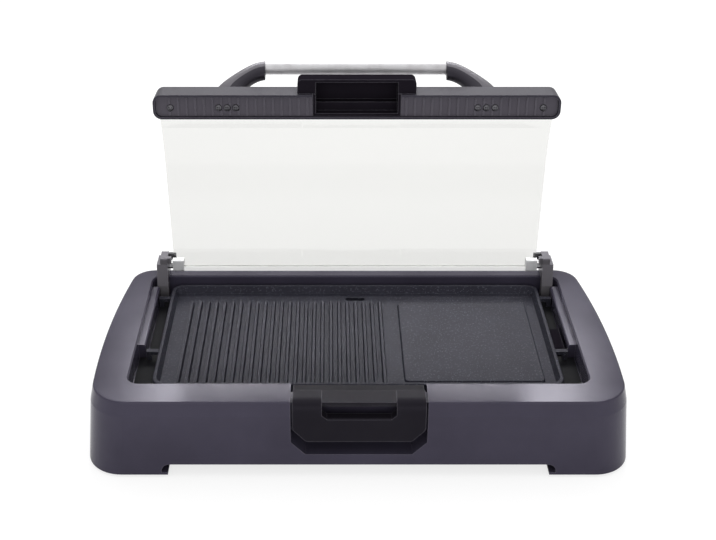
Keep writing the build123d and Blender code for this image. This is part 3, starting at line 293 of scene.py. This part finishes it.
LILAC_SHEEN = from_screen(238, 232, 255)
# Paler tone for sharp edges: partly wear, partly painted highlight.
EDGE_WEAR_AND_HIGHLIGHT = from_screen(120, 118, 126)


def moulded_plastic(name, colour, shine, grain_size, grain_depth, roughness, gloss):
    """Moulded plastic: a spark-eroded grain, faint clouds in the colour and polished edges,
    painted paler partly as wear and partly as painted highlight.
    """
    finish = Finish(name)
    cloud = finish.noise(size=0.05, detail=3.0)
    grain = finish.noise(grain_size, detail=3.0, rough=0.6)
    # Sharp edges, painted paler below as wear and as painted highlight, and made a little glossier.
    edge = finish.edge_wear_and_highlight_mask(radius=0.0012).between(0.02, 0.3)
    tone = finish.tint(cloud.between(0.3, 0.7), colour, shine)
    worn_and_highlit = finish.tint(edge * 0.5, tone, EDGE_WEAR_AND_HIGHLIGHT)
    return finish.finished(finish.shader(
        Base_Color=worn_and_highlit,
        Roughness=roughness + (cloud - 0.5) * 0.12 + (grain - 0.5) * 0.1 - edge * 0.08,
        Specular_IOR_Level=gloss,
        Specular_Tint=LILAC_SHEEN,
        Normal=finish.bump(grain, grain_depth)))


housing_plastic = moulded_plastic(
    "housing_plastic", from_screen(51, 48, 60), from_screen(57, 54, 67),
    grain_size=0.0007, grain_depth=0.00003, roughness=0.17, gloss=0.3)
dress(housing_plastic, "housing")


# ---- Cover below, feet and their screws --------------------------------------------------
# A bottom cover of black plastic closes the housing from below, held by screws with a cross
# recess. Rubber pads under the four corner feet keep the grill from sliding on the worktop.

black_plastic = moulded_plastic(
    "black_plastic", from_screen(28, 26, 30), from_screen(33, 31, 35),
    grain_size=0.0006, grain_depth=0.00005, roughness=0.4, gloss=0.3)
dress(black_plastic, "bottom_cover")


def foot_rubber():
    finish = Finish("foot_rubber")
    dust = finish.noise(size=0.004, detail=4.0, rough=0.7)
    return finish.finished(finish.shader(
        Base_Color=finish.tint(dust.between(0.45, 0.8), from_screen(36, 36, 37),
                               from_screen(70, 69, 68)),
        Roughness=0.75 + dust * 0.2,
        Normal=finish.bump(dust, depth=0.00012)))


SAME_POINT = 0.000001       # points of the mesh this close together are one


def separate_solids(mesh):
    """The points of each connected solid of a mesh, as lists of vectors, in the mesh's order."""
    solid = bmesh.new()
    solid.from_mesh(mesh)
    bmesh.ops.remove_doubles(solid, verts=solid.verts, dist=SAME_POINT)
    solid.verts.index_update()
    left = set(solid.verts)
    found = []
    while left:
        reached = {left.pop()}
        edge = list(reached)
        while edge:
            near = {link.other_vert(vert) for vert in edge for link in vert.link_edges}
            edge = list(near - reached)
            reached |= near
        left -= reached
        found.append(sorted(reached, key=lambda vert: vert.index))
    found.sort(key=lambda verts: verts[0].index)
    points = [[vert.co.copy() for vert in verts] for verts in found]
    solid.free()
    return points


def skin_rings(skin, rings):
    """Faces between rings of as many points each, and one across either end."""
    for ring, following in zip(rings, rings[1:]):
        for index, vert in enumerate(ring):
            after = (index + 1) % len(ring)
            skin.faces.new((vert, following[index], following[after], ring[after]))
    skin.faces.new(rings[0])
    skin.faces.new(reversed(rings[-1]))


PAD_CORNER = 0.008
PAD_CORNER_LEAST = 0.0006
PAD_POINTS_A_CORNER = 6
TREAD = ((0.0, 0.0), (0.0, -0.0022), (0.0008, -0.003), (0.0026, -0.003), (0.0032, -0.0022),
         (0.0042, -0.0022), (0.0048, -0.003), (0.0068, -0.003), (0.0074, -0.0022),
         (0.0084, -0.0022), (0.009, -0.003))    # inset from the outline, and depth below its top


def pad_outline(box, inset):
    """Points round a rounded rectangle inside a box, drawn in by inset."""
    radius = max(PAD_CORNER - inset, PAD_CORNER_LEAST)
    half = [(box[1][axis] - box[0][axis]) / 2 - inset - radius for axis in (0, 1)]
    middle = [(box[1][axis] + box[0][axis]) / 2 for axis in (0, 1)]
    points = []
    for corner, (sign_x, sign_y) in enumerate(((1, 1), (-1, 1), (-1, -1), (1, -1))):
        for step in range(PAD_POINTS_A_CORNER):
            turn = math.pi / 2 * (corner + step / (PAD_POINTS_A_CORNER - 1))
            points.append((middle[0] + sign_x * half[0] + radius * math.cos(turn),
                           middle[1] + sign_y * half[1] + radius * math.sin(turn)))
    return points


def treaded_pads():
    """The four pads, with two grooves moulded round their undersides for grip."""
    skin = bmesh.new()
    for points in separate_solids(nodes["foot_pads"].data):
        box = [[pick(point[axis] for point in points) for axis in range(3)] for pick in (min, max)]
        rings = [[skin.verts.new((x, y, box[1][2] + depth)) for x, y in pad_outline(box, inset)]
                 for inset, depth in TREAD]
        skin_rings(skin, rings)
    made = made_from("treaded_pads", skin, foot_rubber())
    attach(made, "base")
    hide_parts("foot_pads")


treaded_pads()


def plated_steel(name, colour, stain, roughness, brush=(1.0, 1.0, 1.0)):
    """Steel with a fine tumbled grain, or one brushed out along an axis, and faint stains."""
    finish = Finish(name)
    lines = finish.noise(size=0.0004, detail=2.0, stretch=brush)
    patch = finish.noise(size=0.012, detail=3.0)
    return finish.finished(finish.shader(
        Base_Color=finish.tint(patch.between(0.45, 0.75), colour, stain),
        Metallic=1.0,
        Roughness=roughness + (lines - 0.5) * 0.16 + (patch - 0.5) * 0.1,
        Normal=finish.bump(lines, depth=0.00001)))


screw_steel = plated_steel("screw_steel", from_screen(158, 158, 161),
                           from_screen(132, 131, 133), roughness=0.34)

SCREW_SIDES = 24
SCREW_TURNS = [side * math.tau / SCREW_SIDES for side in range(SCREW_SIDES)]
HEAD_RINGS = 12
HEAD_DOMING = 0.85          # how far the head falls off towards its rim, where 1 is to nothing
CROSS_REACH = 0.58          # the recess's arms, as a share of the head's radius
CROSS_HALF_WIDTH = 0.13     # likewise
CROSS_DEPTH = 0.5           # as a share of the head's height
CROSS_SLOPE = 0.4           # how much of its depth the recess loses towards its ends
THREAD_PITCH = 0.0012
THREAD_DEPTH = 0.16         # as a share of the shank's radius
ROWS_A_TURN = 4
TIP_RADIUS = 0.35           # as a share of the shank's radius
TIP_SLOPE = 0.6


def screw_rows(head_radius, head_height, shank_radius, length):
    """Rings of a screw from the middle of its head to its tip, as (turn, radius, height)."""
    rows = []
    for ring in range(1, HEAD_RINGS + 1):
        share = ring / HEAD_RINGS
        crown = head_height * math.sqrt(max(0.0, 1.0 - HEAD_DOMING * share ** 4))
        depth = head_height * CROSS_DEPTH * (1.0 - share / CROSS_REACH * CROSS_SLOPE)
        row = []
        for turn in SCREW_TURNS:
            across = share * min(abs(math.cos(turn)), abs(math.sin(turn)))
            inside = share < CROSS_REACH and across < CROSS_HALF_WIDTH
            row.append((turn, share * head_radius, crown - depth * inside))
        rows.append(row)
    rows.append([(turn, head_radius, 0.0) for turn in SCREW_TURNS])
    count = max(2, int(length / THREAD_PITCH * ROWS_A_TURN))
    for step in range(count + 1):
        depth = length * step / count
        taper = min(1.0, (length - depth) / shank_radius * TIP_SLOPE + TIP_RADIUS)
        row = []
        for turn in SCREW_TURNS:
            phase = (depth / THREAD_PITCH - turn / math.tau) % 1.0
            thread = 1.0 - THREAD_DEPTH * abs(2 * phase - 1)
            row.append((turn, shank_radius * taper * thread, -depth))
        rows.append(row)
    return rows


SHANK_FROM = 0.3            # points nearer to the axis than this share of the head are a tip's
RIM_FROM = 0.95             # points further out than this share are on the head's rim


def cross_recess_screws(node, body, axis, finish=screw_steel):
    """Screws with a cross recess and a thread, in place of the plain solids of a node."""
    axis = Vector(axis).normalized()
    side = axis.orthogonal().normalized()
    other = axis.cross(side)
    skin = bmesh.new()
    for points in separate_solids(nodes[node].data):
        heights = [point.dot(axis) for point in points]
        spans = [[point.dot(way) for point in points] for way in (side, other)]
        middle = [(min(span) + max(span)) / 2 for span in spans]
        radii = [math.hypot(a - middle[0], b - middle[1]) for a, b in zip(*spans)]
        head_radius = max(radii)
        shank_radius = min(radius for radius in radii if radius > SHANK_FROM * head_radius)
        seat = min(height for height, radius in zip(heights, radii)
                   if radius > RIM_FROM * head_radius)
        rows = screw_rows(head_radius, max(heights) - seat, shank_radius, seat - min(heights))

        def placed(turn, radius, height):
            across = middle[0] + radius * math.cos(turn), middle[1] + radius * math.sin(turn)
            return side * across[0] + other * across[1] + axis * (seat + height)

        skin_rings(skin, [[skin.verts.new(placed(*spot)) for spot in row] for row in rows])
    made = made_from(node + "_threaded", skin, finish)
    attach(made, body)
    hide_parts(node)


cross_recess_screws("cover_screws", "base", (0.0, 0.0, -1.0))


# ---- Heat reflector and inlet bezel ------------------------------------------------------
# A pressed sheet of zinc-coated steel lies under the drip tray and throws the heat back up.
# The bezel in the right wall is moulded in black and guides the detachable connector in.

ZINC_CRYSTAL = 1 / 90


def zinc_sheet():
    """Zinc coating, whose crystals differ a little in tone and shine."""
    finish = Finish("zinc_sheet")
    sockets = {"Vector": finish.place(), "Scale": 1 / ZINC_CRYSTAL}
    grain = finish.node("ShaderNodeTexVoronoi", {"feature": "F1"}, sockets)
    flake = finish.node("ShaderNodeTexVoronoi", {"feature": "F1"}, sockets, output="Color")
    shade = finish.node("ShaderNodeSeparateColor", None, {"Color": flake})
    return finish.finished(finish.shader(
        Base_Color=finish.tint(shade, from_screen(168, 172, 176), from_screen(200, 203, 206)),
        Metallic=1.0,
        Roughness=0.34 + shade * 0.14,
        Normal=finish.bump(grain, depth=0.00002)))


dress(zinc_sheet(), "heat_reflector")
dress(black_plastic, "inlet_bezel")


# ---- Hinge posts and rest bumpers --------------------------------------------------------
# Two dark grey moulded posts are screwed to the ledge at the back of the well and hold the
# lid's pins. The open lid's lugs lean on a soft bumper on the inner side of each.

post_plastic = moulded_plastic(
    "post_plastic", from_screen(84, 82, 85), from_screen(92, 90, 93),
    grain_size=0.0006, grain_depth=0.00005, roughness=0.36, gloss=0.4)
dress(post_plastic, "hinge_post_left", "hinge_post_right")
cross_recess_screws("post_screws", "base", (0.0, 0.0, -1.0))


def soft_silicone(name, colour, dusty):
    """Moulded silicone rubber, which is never quite even and picks up a little dust."""
    finish = Finish(name)
    dust = finish.noise(size=0.003, detail=4.0, rough=0.7)
    return finish.finished(finish.shader(
        Base_Color=finish.tint(dust.between(0.5, 0.85), colour, dusty),
        Roughness=0.5 + dust * 0.2,
        Normal=finish.bump(dust, depth=0.00006)))


grey_silicone = soft_silicone("grey_silicone", from_screen(70, 70, 73), from_screen(98, 97, 98))
dress(grey_silicone, "rest_bumpers")


# ---- Drip tray ---------------------------------------------------------------------------
# A deep-drawn aluminium tray with a black enamelled skin hangs in the well below the plate
# and catches the fat. Its flange lies on the housing's ledge.

def tray_enamel():
    """Matt black enamel, a little wavy, with scattered paler flecks."""
    finish = Finish("tray_enamel")
    wave = finish.noise(size=0.006, detail=2.0)
    fleck = finish.noise(size=0.0009, detail=2.0) > 0.7
    return finish.finished(finish.shader(
        Base_Color=finish.tint(fleck, from_screen(22, 22, 25), from_screen(40, 40, 45)),
        Roughness=0.5 + wave * 0.12,
        Specular_IOR_Level=0.06,
        Normal=finish.bump(wave, depth=0.0001)))


dress(tray_enamel(), "drip_tray")


# ---- Tray grip ---------------------------------------------------------------------------
# The grip is moulded in heat-resistant black plastic and hooks over the front rim through its
# notch. Two flat rivets fix it to the tray's flange.

grip_plastic = moulded_plastic(
    "grip_plastic", from_screen(20, 18, 23), from_screen(25, 23, 28),
    grain_size=0.0006, grain_depth=0.00004, roughness=0.4, gloss=0.12)
dress(grip_plastic, "tray_grip")
dress(screw_steel, "grip_rivets")


# ---- Grill plate -------------------------------------------------------------------------
# Die-cast aluminium, ridged on the left and flat on the right, sprayed inside and out with a
# dark non-stick coat that has fine pale flecks in it.

FLECK_SIZE = 0.0011
FLECK_TONE = from_screen(110, 110, 120)
# Paler tone for sharp edges and ridge crests: partly wear, partly painted highlight.
COAT_WEAR_AND_HIGHLIGHT = from_screen(110, 110, 116)


def flecked_coat():
    """Non-stick coat: a pebbled skin, rare pale flecks, and sharp edges and ridge crests
    painted paler, partly as wear and partly as painted highlight.
    """
    finish = Finish("flecked_coat")
    skin = finish.noise(size=0.0012, detail=3.0, rough=0.6)
    cloud = finish.noise(size=0.03, detail=2.0)
    spots = finish.node("ShaderNodeTexVoronoi", {"feature": "F1"},
                        {"Vector": finish.place(), "Scale": 1 / FLECK_SIZE})
    rare = finish.noise(size=FLECK_SIZE * 2.5, detail=1.0)
    fleck = (spots < 0.34) * (rare > 0.56)
    coat = finish.tint(cloud.between(0.3, 0.7), from_screen(34, 34, 41), from_screen(41, 41, 49))
    # Sharp edges and ridge crests, painted paler: partly wear, partly painted highlight.
    edge = finish.edge_wear_and_highlight_mask(radius=0.001).between(0.05, 0.4)
    flecked = finish.tint(fleck * 0.5, coat, FLECK_TONE)
    return finish.finished(finish.shader(
        Base_Color=finish.tint(edge * 0.35, flecked, COAT_WEAR_AND_HIGHLIGHT),
        Roughness=0.5 + (skin - 0.5) * 0.2 + fleck * 0.1,
        Specular_IOR_Level=0.13,
        Specular_Tint=LILAC_SHEEN,
        Normal=finish.bump(skin, depth=0.00012)))


dress(flecked_coat(), "grill_plate")


# ---- Heating element ---------------------------------------------------------------------
# A bent tube of heat-resistant steel, blued and browned by heat, is clamped under the plate.
# Its ends sit in ceramic bushes in a black heat-proof shroud, where the connector meets them.

BLUED = from_screen(60, 66, 90)
BROWNED = from_screen(92, 76, 62)


def element_sheath():
    finish = Finish("element_sheath")
    heat = finish.noise(size=0.02, detail=3.0)
    scale = finish.noise(size=0.0008, detail=3.0)
    warm = finish.tint(heat.between(0.35, 0.65), from_screen(62, 56, 60), BROWNED)
    return finish.finished(finish.shader(
        Base_Color=finish.tint(scale.between(0.6, 0.8) * 0.5, warm, BLUED),
        Metallic=0.9,
        Roughness=0.42 + heat * 0.2,
        Normal=finish.bump(scale, depth=0.00004)))


dress(element_sheath(), "heating_element")
pressed_steel = plated_steel("pressed_steel", from_screen(176, 177, 180),
                             from_screen(150, 148, 148), roughness=0.34)
dress(pressed_steel, "element_clamps")
matt_plastic = moulded_plastic(
    "matt_plastic", from_screen(25, 22, 28), from_screen(30, 27, 33),
    grain_size=0.0008, grain_depth=0.00008, roughness=0.7, gloss=0.0)
dress(matt_plastic, "terminal_shroud")
cross_recess_screws("clamp_screws", "plate", (0.0, 0.0, -1.0))


def white_ceramic():
    finish = Finish("white_ceramic")
    cloud = finish.noise(size=0.004, detail=3.0)
    return finish.finished(finish.shader(
        Base_Color=finish.tint(cloud, from_screen(222, 217, 206), from_screen(233, 230, 222)),
        Roughness=0.35 + cloud * 0.15,
        Normal=finish.bump(cloud, depth=0.00008)))


dress(white_ceramic(), "ceramic_bushes")
pin_steel = plated_steel("pin_steel", from_screen(205, 204, 200),
                         from_screen(176, 170, 160), roughness=0.22)
dress(pin_steel, "terminal_pins")


# ---- Lid glass ---------------------------------------------------------------------------
# One curved pane of clear toughened glass. A pale silicone strip is folded over its lower
# edge, and its upper edge is bedded in the frame in a grey silicone seal.

def clear_glass():
    """Glass with faint smears, which lets the lamps shine through to what is behind it."""
    finish = Finish("clear_glass")
    smear = finish.noise(size=0.05, detail=2.0, stretch=(1.0, 1.0, 3.0))
    glass = finish.shader(
        Base_Color=from_screen(220, 220, 218),
        Transmission_Weight=1.0,
        IOR=1.5,
        Roughness=0.01 + smear.between(0.5, 0.9) * 0.05)
    open_to_lamps = finish.node("ShaderNodeBsdfTransparent", None,
                                {"Color": from_screen(243, 244, 243)})
    shadow = finish.node("ShaderNodeLightPath", output="Is Shadow Ray")
    return finish.finished(finish.node("ShaderNodeMixShader", None,
                                       {0: shadow, 1: glass, 2: open_to_lamps}))


dress(clear_glass(), "lid_glass")
dress(grey_silicone, "glass_seal")
pale_silicone = soft_silicone("pale_silicone", from_screen(255, 255, 254),
                              from_screen(248, 248, 247))
dress(pale_silicone, "glass_edge_strip")


# ---- Lid frame and hood ------------------------------------------------------------------
# A moulded front frame stiffens the pane. Ribbed covers close it from below, and a hood in its
# middle goes over the tray grip when the lid is shut. Dark screws hold it all together.

frame_plastic = moulded_plastic(
    "frame_plastic", from_screen(46, 44, 51), from_screen(52, 50, 57),
    grain_size=0.0006, grain_depth=0.00005, roughness=0.4, gloss=0.18)
dress(frame_plastic, "lid_frame")
cover_plastic = moulded_plastic(
    "cover_plastic", from_screen(68, 65, 71), from_screen(75, 72, 78),
    grain_size=0.0006, grain_depth=0.00005, roughness=0.4, gloss=0.3)
dress(cover_plastic, "frame_cover_left", "frame_cover_right")
dress(matt_plastic, "notch_hood")

LID_ANGLE = math.radians(94.0)      # from shut to open
SCREW_HEADS_FACE = (0.0, -math.sin(LID_ANGLE), -math.cos(LID_ANGLE))
dark_steel = plated_steel("dark_steel", from_screen(98, 97, 101),
                          from_screen(78, 77, 81), roughness=0.4)
cross_recess_screws("frame_screws", "lid", SCREW_HEADS_FACE, dark_steel)


# ---- Lid handle --------------------------------------------------------------------------
# A brushed stainless tube lies between two curved arms, which are screwed to the frame and
# hold it well away from the hot glass. The arms are grey; the sides that face each other are
# painted black as painted shade, and the ends are black too.

arm_plastic = moulded_plastic(
    "arm_plastic", from_screen(84, 82, 85), from_screen(94, 92, 95),
    grain_size=0.0006, grain_depth=0.00003, roughness=0.36, gloss=0.4)

LID_PIVOT = Vector((0, 0.0866675, 0.096))
ARM_REACHES = (0.1905, 0.213)      # from the pivot to the arm's foot and to the bar's axis
ARM_HEIGHTS = (0.017, 0.053)       # over the closed lid's pivot, at the same two places
# The arm's edges from foot to bar, as distance from the middle and length along the arm's rise.
ARM_OUTER = ((0.152, -0.004), (0.1525, 0.004), (0.149, 0.014), (0.1405, 0.0235),
             (0.129, 0.0338), (0.117, 0.0432), (0.107, 0.0485), (0.098, 0.0502))
ARM_INNER = ((0.122, -0.004), (0.1215, 0.003), (0.1195, 0.010), (0.1165, 0.0155),
             (0.112, 0.0205), (0.1065, 0.0248), (0.102, 0.0267), (0.098, 0.0275))
ARM_HALF_THICKNESS = 0.0074
ARM_SECTION_POINTS = 28
ARM_SQUARENESS = 2.4        # 2 would be an oval section, and more is squarer
# The faces turned towards the other arm are painted black, as painted shade.
ARM_SHADED_SIDE_FROM = -0.1       # cosine round the section beyond which it faces the other arm
ARM_END_EDGE = 0.0008


def lid_place(x, reach, height):
    """Where a point of the closed lid is while the lid stands open."""
    back = reach * math.cos(math.pi - LID_ANGLE) + height * math.sin(LID_ANGLE)
    up = reach * math.sin(LID_ANGLE) - height * math.cos(math.pi - LID_ANGLE)
    return LID_PIVOT + Vector((x, back, up))


def curved_arm(side):
    """A moulded arm: a soft square section that narrows and turns in towards the bar."""
    span = Vector((ARM_REACHES[1] - ARM_REACHES[0], ARM_HEIGHTS[1] - ARM_HEIGHTS[0]))
    along = span.normalized()
    turns = [point * math.tau / ARM_SECTION_POINTS for point in range(ARM_SECTION_POINTS)]
    skin = bmesh.new()
    rings = []
    for outer, inner in zip(ARM_OUTER, ARM_INNER):
        middle = [(a + b) / 2 for a, b in zip(outer, inner)]
        half = [(a - b) / 2 for a, b in zip(outer, inner)]
        ring = []
        for turn in turns:
            wide, thick = [math.copysign(abs(value) ** (2 / ARM_SQUARENESS), value)
                           for value in (math.cos(turn), math.sin(turn))]
            x = middle[0] + half[0] * wide
            rise = middle[1] + half[1] * wide
            off = thick * ARM_HALF_THICKNESS
            reach = ARM_REACHES[0] + along[0] * rise + along[1] * off
            height = ARM_HEIGHTS[0] + along[1] * rise - along[0] * off
            ring.append(skin.verts.new(lid_place(side * x, reach, height)))
        rings.append(ring)
    skin_rings(skin, rings)
    bmesh.ops.recalc_face_normals(skin, faces=skin.faces)
    for index, face in enumerate(skin.faces):
        turn = (index % ARM_SECTION_POINTS + 0.5) * math.tau / ARM_SECTION_POINTS
        end = len(face.verts) > 4
        face.smooth = not end
        # Faces turned to the other arm get the black plastic as painted shade; the end faces get it
        # too.
        face.material_index = int(end or math.cos(turn) < ARM_SHADED_SIDE_FROM)
    return skin


def handle_arm(name, side):
    """One arm, with its ends' edges rounded and its surface smoothed."""
    # Grey plastic outside; the black plastic is painted shade on the inner sides, and also covers
    # the ends.
    made = made_from(name + "_curved", curved_arm(side), arm_plastic, black_plastic)
    edge = made.modifiers.new("end_edge", "BEVEL")
    edge.width = ARM_END_EDGE
    edge.segments = 3
    edge.limit_method = "ANGLE"
    smooth = made.modifiers.new("round", "SUBSURF")
    smooth.levels = smooth.render_levels = 2
    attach(made, "lid")
    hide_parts(name)


handle_arm("handle_arm_left", -1)
handle_arm("handle_arm_right", 1)

brushed_tube = plated_steel("brushed_tube", from_screen(208, 207, 209),
                            from_screen(196, 194, 196), roughness=0.62, brush=(0.4, 1.0, 1.0))
BAR_RADIUS = 0.0069
BAR_SIDES = 48
BAR_STEPS = 12
BAR_CHAMFER = 0.0005
BAR_SHOULDER = 0.0984       # half the length between the arms, which the bar's ends enter
BAR_END = 0.104
BAR_END_RADIUS = 0.0042
BAR_SMOOTH_TO = BAR_SHOULDER - 1.5 * BAR_CHAMFER


def turned_bar():
    """The tube between the arms, chamfered, with a thinner end that sits in each arm."""
    span = BAR_SHOULDER - 2 * BAR_CHAMFER
    half = [(span * step / BAR_STEPS, BAR_RADIUS) for step in range(1, BAR_STEPS + 1)]
    half += [(BAR_SHOULDER - BAR_CHAMFER, BAR_RADIUS), (BAR_SHOULDER, BAR_RADIUS - BAR_CHAMFER),
             (BAR_SHOULDER, BAR_END_RADIUS), (BAR_END, BAR_END_RADIUS)]
    profile = [(-x, radius) for x, radius in reversed(half)] + [(0.0, BAR_RADIUS)] + half
    turns = [side * math.tau / BAR_SIDES for side in range(BAR_SIDES)]
    skin = bmesh.new()
    rings = []
    for x, radius in profile:
        middle = lid_place(x, ARM_REACHES[1], ARM_HEIGHTS[1])
        rings.append([skin.verts.new(middle + radius * Vector((0, math.cos(turn), math.sin(turn))))
                      for turn in turns])
    skin_rings(skin, rings)
    for face in skin.faces:
        face.smooth = abs(face.verts[0].co.x) < BAR_SMOOTH_TO
    bmesh.ops.recalc_face_normals(skin, faces=skin.faces)
    made = made_from("turned_bar", skin, brushed_tube)
    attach(made, "lid")
    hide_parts("handle_bar")


turned_bar()


# ---- Hinge lugs and pins -----------------------------------------------------------------
# A block of pale satin steel holds each lower corner of the pane, and turns on a plated steel
# pin in its post.

dress(screw_steel, "hinge_pin_left", "hinge_pin_right")
lug_steel = plated_steel("lug_steel", from_screen(236, 236, 237),
                         from_screen(222, 222, 223), roughness=0.55)
dress(lug_steel, "hinge_lug_left", "hinge_lug_right")
